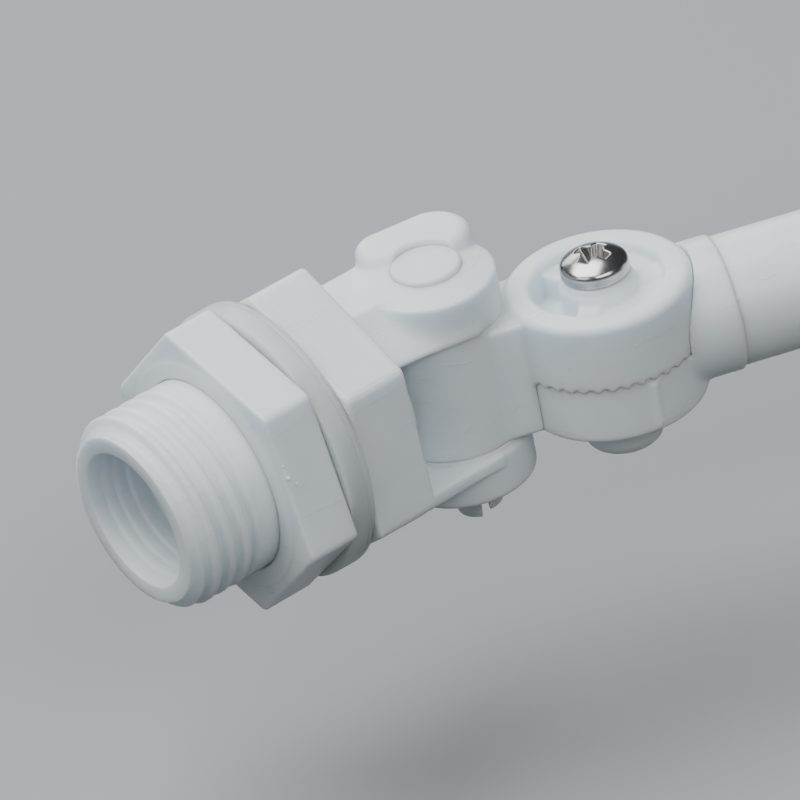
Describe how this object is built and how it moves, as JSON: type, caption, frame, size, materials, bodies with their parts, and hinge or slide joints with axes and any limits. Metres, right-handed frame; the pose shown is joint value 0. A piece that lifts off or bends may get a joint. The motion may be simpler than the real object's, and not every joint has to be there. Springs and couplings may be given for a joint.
{
  "type": "float valve",
  "caption": "Side-inlet float valve: threaded inlet shank with lock nut and gasket, pinned lever, serrated adjustable arm and ball float.",
  "frame": {"origin": "on the valve's axis, at the face of the hexagon flange that clamps the tank wall", "axes": "+X runs along the valve's axis from the threaded inlet towards the float arm; +Z is the pivot pin's axis; -Y is the side that faces down in use"},
  "size_m": [0.2619, 0.1405, 0.08],
  "materials": {
    "white_nylon": "satin, slightly translucent moulded plastic",
    "white_acetal": "smooth moulded plastic",
    "clear_silicone": "translucent silicone",
    "black_rubber": "matt",
    "stainless_steel": "polished, lightly scratched"
  },
  "bodies": {
    "housing": {"valve_body": "white_nylon", "flow_nozzle": "white_acetal", "pivot_pin": "white_acetal"},
    "piston": {"piston": "white_acetal", "piston_washer": "black_rubber"},
    "gasket": {"sealing_gasket": "clear_silicone"},
    "lock_nut": {"lock_nut": "white_nylon"},
    "lever": {"lever": "white_nylon"},
    "clamp_screw": {"clamp_screw": "stainless_steel"},
    "arm": {"arm_knuckle": "white_nylon", "arm_tube": "white_nylon", "arm_end_plug": "white_acetal"},
    "float": {"float_near_shell": "white_nylon", "float_far_shell": "white_nylon", "float_neck_nut": "white_acetal"}
  },
  "joints": [
    {"name": "lever_pivot", "type": "hinge", "parent": "housing", "child": "lever", "pos_m": [0.0175, -0.0043, 0], "axis": [0, 0, 1], "range_deg": [-6, 28]},
    {"name": "piston_slide", "type": "slide", "parent": "housing", "child": "piston", "axis": [1, 0, 0], "range_m": [-0.00212, 0.00046]},
    {"name": "arm_adjust", "type": "hinge", "parent": "lever", "child": "arm", "pos_m": [0.0315, -0.0128, 0], "axis": [0, 0, 1], "range_deg": [-90, 90]},
    {"name": "clamp_screw_turn", "type": "hinge", "parent": "lever", "child": "clamp_screw", "pos_m": [0.0315, -0.0128, 0], "axis": [0, 0, 1], "continuous": true},
    {"name": "gasket_slide", "type": "slide", "parent": "housing", "child": "gasket", "axis": [-1, 0, 0], "range_m": [0, 0.00726]},
    {"name": "lock_nut_turn", "type": "hinge", "parent": "gasket", "child": "lock_nut", "pos_m": [0, 0, 0], "axis": [-1, 0, 0], "range_deg": [0, 1440]},
    {"name": "float_turn", "type": "hinge", "parent": "arm", "child": "float", "pos_m": [0.0315, -0.0128, 0], "axis": [0.9219, -0.3875, 0], "continuous": true}
  ],
  "couplings": [
    {"joint": "piston_slide", "follows": "lever_pivot", "m_per_rad": -0.0043},
    {"joint": "gasket_slide", "follows": "lock_nut_turn", "m_per_rad": 0.00028871}
  ]
}
